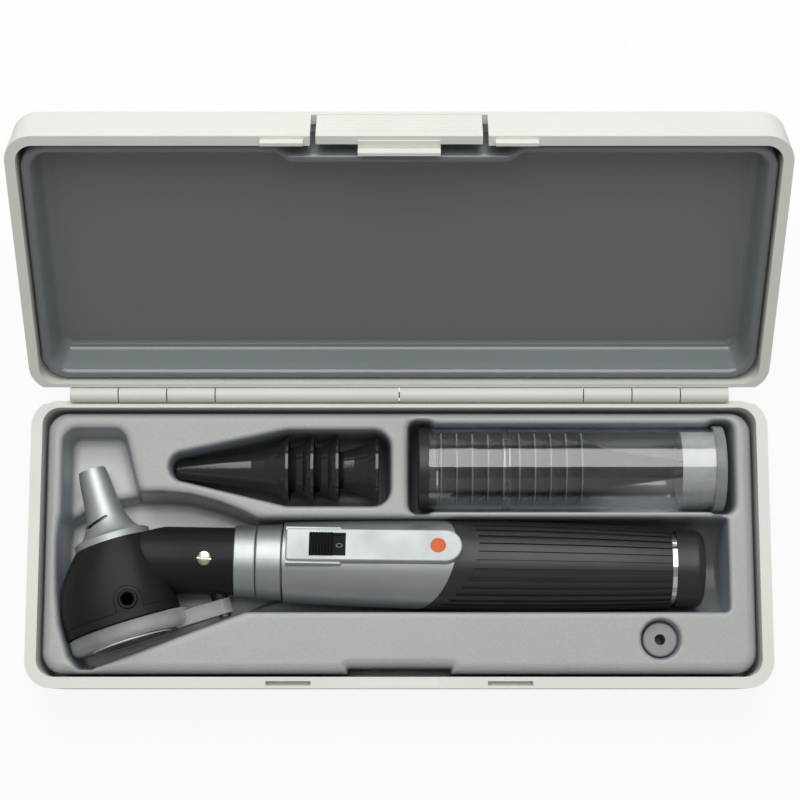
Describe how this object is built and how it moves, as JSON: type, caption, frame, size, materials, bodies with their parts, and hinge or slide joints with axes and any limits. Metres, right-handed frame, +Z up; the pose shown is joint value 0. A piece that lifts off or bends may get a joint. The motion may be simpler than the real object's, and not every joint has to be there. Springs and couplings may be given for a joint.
{
  "type": "otoscope carry case",
  "caption": "Hinged carry case, open, whose moulded tray holds a pocket otoscope, a stack of nested ear specula, a plugged clear tube of specula and an air-bulb adapter.",
  "frame": {"origin": "centre of the flat underside of the case's base, on the table", "axes": "+X along the case to the right, +Y towards the hinge and the leaning lid, +Z up"},
  "size_m": [0.19, 0.138, 0.0761],
  "materials": {
    "case_shell": "fine satin texture",
    "tray_sheet": "fine matte grain",
    "liner_sheet": "fine matte grain",
    "steel": "satin",
    "black_plastic": "satin",
    "satin_metal": "bead blasted satin",
    "bright_metal": "polished",
    "contact_brass": "polished",
    "cell_jacket": "gloss",
    "clear_window": "clear",
    "lens_glass": "clear",
    "clear_tube": "clear",
    "frosted_plug": "frosted",
    "gloss_black": "gloss",
    "adapter_plastic": "satin"
  },
  "bodies": {
    "base": {"base_shell": "case_shell", "tray_insert": "tray_sheet", "hinge_pin": "steel"},
    "lid": {"lid_shell": "case_shell", "lid_liner": "liner_sheet"},
    "latch": {"latch_tongue": "case_shell"},
    "otoscope": {"head_housing": "black_plastic", "head_rear_frame": "black_plastic", "insufflation_port": "black_plastic", "speculum_holder": "satin_metal", "light_guide_tube": "steel", "led_module": "satin_metal", "neck_screw": "bright_metal", "collar_front": "satin_metal", "collar_rear": "satin_metal", "handle_body": "satin_metal", "handle_grip": "black_plastic", "clip_plate": "satin_metal", "switch_panel": "black_plastic", "grip_ring": "bright_metal", "contact_plate": "contact_brass", "contact_pin": "contact_brass", "battery_front": "cell_jacket", "battery_rear": "cell_jacket", "window_pivot_pin": "steel"},
    "switch": {"switch_slider": "black_plastic"},
    "end_cap": {"end_cap": "black_plastic", "end_spring": "steel"},
    "window": {"window_frame": "clear_window", "window_lens": "lens_glass"},
    "specula_stack": {"reusable_speculum_1": "gloss_black", "reusable_speculum_2": "gloss_black", "reusable_speculum_3": "gloss_black", "reusable_speculum_4": "gloss_black"},
    "specula_tube": {"tube_wall": "clear_tube", "tube_end_cap": "black_plastic", "disposable_speculum_01": "gloss_black", "disposable_speculum_02": "gloss_black", "disposable_speculum_03": "gloss_black", "disposable_speculum_04": "gloss_black", "disposable_speculum_05": "gloss_black", "disposable_speculum_06": "gloss_black", "disposable_speculum_07": "gloss_black", "disposable_speculum_08": "gloss_black", "disposable_speculum_09": "gloss_black", "disposable_speculum_10": "gloss_black"},
    "tube_plug": {"tube_plug": "frosted_plug"},
    "adapter": {"insufflation_adapter": "adapter_plastic"}
  },
  "joints": [
    {"name": "lid_hinge", "type": "hinge", "parent": "base", "child": "lid", "pos_m": [0, 0.0388, 0.0221], "axis": [-1, 0, 0], "range_deg": [-135, 0]},
    {"name": "latch_flex", "type": "hinge", "parent": "lid", "child": "latch", "pos_m": [0, 0.09924, 0.06617], "axis": [1, 0, 0], "range_deg": [0, 3], "stiffness_Nm_per_rad": 1.3},
    {"name": "otoscope_lift", "type": "slide", "parent": "base", "child": "otoscope", "axis": [0, 0, 1], "range_m": [0, 0.04]},
    {"name": "switch_slide", "type": "slide", "parent": "otoscope", "child": "switch", "axis": [0.9998, -0.0122, 0.0127], "range_m": [0, 0.0032]},
    {"name": "end_cap_pull", "type": "slide", "parent": "otoscope", "child": "end_cap", "axis": [0.9999, -0.0162, 0], "range_m": [0, 0.0045]},
    {"name": "window_swing", "type": "hinge", "parent": "otoscope", "child": "window", "pos_m": [-0.04554, -0.01539, 0.0147], "axis": [-0.3007, 0.9537, 0], "range_deg": [0, 90]},
    {"name": "specula_stack_lift", "type": "slide", "parent": "base", "child": "specula_stack", "axis": [0, 0, 1], "range_m": [0, 0.04]},
    {"name": "specula_tube_lift", "type": "slide", "parent": "base", "child": "specula_tube", "axis": [0, 0, 1], "range_m": [0, 0.04]},
    {"name": "tube_plug_twist", "type": "hinge", "parent": "specula_tube", "child": "tube_plug", "pos_m": [0.083, 0.0205, 0.0142], "axis": [1, 0, 0], "range_deg": [0, 90]},
    {"name": "adapter_lift", "type": "slide", "parent": "base", "child": "adapter", "axis": [0, 0, 1], "range_m": [0, 0.025]}
  ]
}
